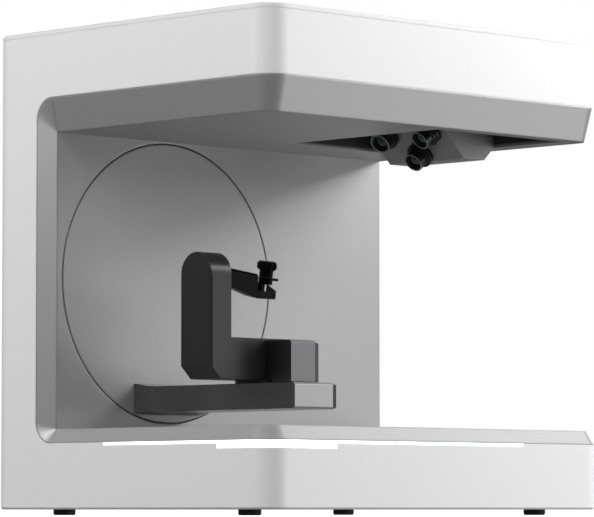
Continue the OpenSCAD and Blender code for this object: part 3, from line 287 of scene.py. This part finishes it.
def surfacePiece(name, parts, finish, node=None):
    # several turned surfaces in one mesh, with doubled points merged and faces turned outwards
    points, faces, start = [], [], 0
    for partPoints, partFaces in parts:
        points.append(partPoints)
        faces.append(partFaces + start)
        start += len(partPoints)
    mesh = bpy.data.meshes.new(name)
    mesh.from_pydata(np.concatenate(points).tolist(), [], np.concatenate(faces).tolist())
    solid = bmesh.new()
    solid.from_mesh(mesh)
    bmesh.ops.remove_doubles(solid, verts=solid.verts, dist=1e-7)
    bmesh.ops.recalc_face_normals(solid, faces=solid.faces)
    solid.to_mesh(mesh)
    solid.free()
    mesh.shade_smooth()
    mesh.materials.append(finish)
    piece = bpy.data.objects.new(name, mesh)
    scene.collection.objects.link(piece)
    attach(piece, "cabinet")
    if node:
        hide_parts(node)
    return piece


eyes = [(lens["rearCamera"], lens["looksAt"], lens["cameraWidth"]),
        (lens["frontCamera"], lens["looksAt"], lens["cameraWidth"]),
        (lens["projector"], lens["projectorLooksAt"], lens["projectorWidth"])]
glasses, rims = [], []
for place, target, width in eyes:
    r = width / 2 - lens["glassInset"]
    across = np.linspace(0, 1, lens["domeSteps"])
    # dome: depth grows with the square of the distance from the middle
    radii = np.concatenate([r * across, [r, 0]])
    depths = np.concatenate([lens["domeFront"] + (lens["domeRim"] - lens["domeFront"]) * across ** 2,
                             [lens["glassBack"], lens["glassBack"]]])
    glasses.append(turned(place, target, radii, depths, lens["around"]))
    # rim: half an ellipse standing proud of the barrel's mouth
    turn = np.linspace(0, np.pi, lens["rimSteps"])
    middle, reach = width / 2 - lens["rimInset"], lens["rimWidth"] / 2
    radii = np.concatenate([middle + reach * np.cos(turn), [middle + reach]])
    depths = lens["rimBack"] - lens["rimProud"] * np.concatenate([np.sin(turn), [0]])
    rims.append(turned(place, target, radii, depths, lens["around"]))
surfacePiece("lensGlasses", glasses, coatedLens, "lens_glasses")
surfacePiece("lensRims", rims, rimGrey)
print("lenses made")


# floor and lights
floor = dict(size=6.0, colour=(0.35, 0.35, 0.35), glow=0.97)

half = floor["size"] / 2
floorMesh = bpy.data.meshes.new("floor")
corners = [(-half, -half, 0), (half, -half, 0), (half, half, 0), (-half, half, 0)]
floorMesh.from_pydata(corners, [], [(0, 1, 2, 3)])
floorObject = bpy.data.objects.new("floor", floorMesh)
scene.collection.objects.link(floorObject)
floorFinish = satinFinish("floorPaper", floor["colour"], 0.004, 0.8, 0.05, 300, 0.00002)
paper = next(n for n in floorFinish.node_tree.nodes if n.type == "BSDF_PRINCIPLED")
paper.inputs["Emission Color"].default_value = (1, 1, 1, 1)
paper.inputs["Emission Strength"].default_value = floor["glow"]
floorMesh.materials.append(floorFinish)
floorObject.visible_diffuse = False
floorObject.visible_glossy = False
floorObject.visible_shadow = False

# each box: turn from the front towards the right, height angle, distance, size, power
studio = dict(aim=(0, 0, 0.17), skyUp=0.02, skyDown=0.24, boxes=dict(
    keyNear=(60, 30, 1.2, 0.6, 10.9),
    keyFar=(45, 15, 2.2, 1.2, 2.4),
    frontBox=(18, 20, 2.0, 1.0, 9.7),
    cameraBox=(-48, 30, 2.2, 1.0, 12.0),
    backLeftBox=(-110, 29, 2.0, 1.2, 22.2),
    lowRight=(45, -12, 2.0, 1.0, 4.1),
    floorBounce=(58, -24, 1.2, 0.6, 1.3),
))


def softBox(name, turn, rise, distance, size, power):
    # a square lamp on a sphere round the aim, facing it
    turn, rise = math.radians(turn), math.radians(rise)
    reach = np.array([math.sin(turn) * math.cos(rise), -math.cos(turn) * math.cos(rise), math.sin(rise)])
    light = bpy.data.lights.new(name, "AREA")
    light.shape = "SQUARE"
    light.size = size
    light.energy = power
    lamp = bpy.data.objects.new(name, light)
    lamp.location = np.array(studio["aim"]) + distance * reach
    lamp.rotation_euler = (math.pi / 2 - rise, 0, turn)
    scene.collection.objects.link(lamp)


for name, values in studio["boxes"].items():
    softBox(name, *values)

world = bpy.data.worlds.new("studio")
world.use_nodes = True
scene.world = world
tree = world.node_tree
tree.nodes.clear()
where = addNode(tree, "ShaderNodeTexCoord")
split = addNode(tree, "ShaderNodeSeparateXYZ")
link(tree, where, "Generated", split, "Vector")
height = addNode(tree, "ShaderNodeMapRange", interpolation_type="SMOOTHSTEP")
height.inputs["From Min"].default_value = -0.15
height.inputs["From Max"].default_value = 0.25
height.inputs["To Min"].default_value = studio["skyDown"]
height.inputs["To Max"].default_value = studio["skyUp"]
link(tree, split, "Z", height, "Value")
sky = addNode(tree, "ShaderNodeBackground")
link(tree, height, "Result", sky, "Strength")
seen = addNode(tree, "ShaderNodeBackground", Strength=1.0)
seen.inputs["Color"].default_value = (1, 1, 1, 1)
path = addNode(tree, "ShaderNodeLightPath")
mix = addNode(tree, "ShaderNodeMixShader")
link(tree, path, "Is Camera Ray", mix, 0)
tree.links.new(sky.outputs[0], mix.inputs[1])
tree.links.new(seen.outputs[0], mix.inputs[2])
end = addNode(tree, "ShaderNodeOutputWorld")
link(tree, mix, "Shader", end, "Surface")
scene.view_settings.view_transform = "Standard"
print("studio lit")
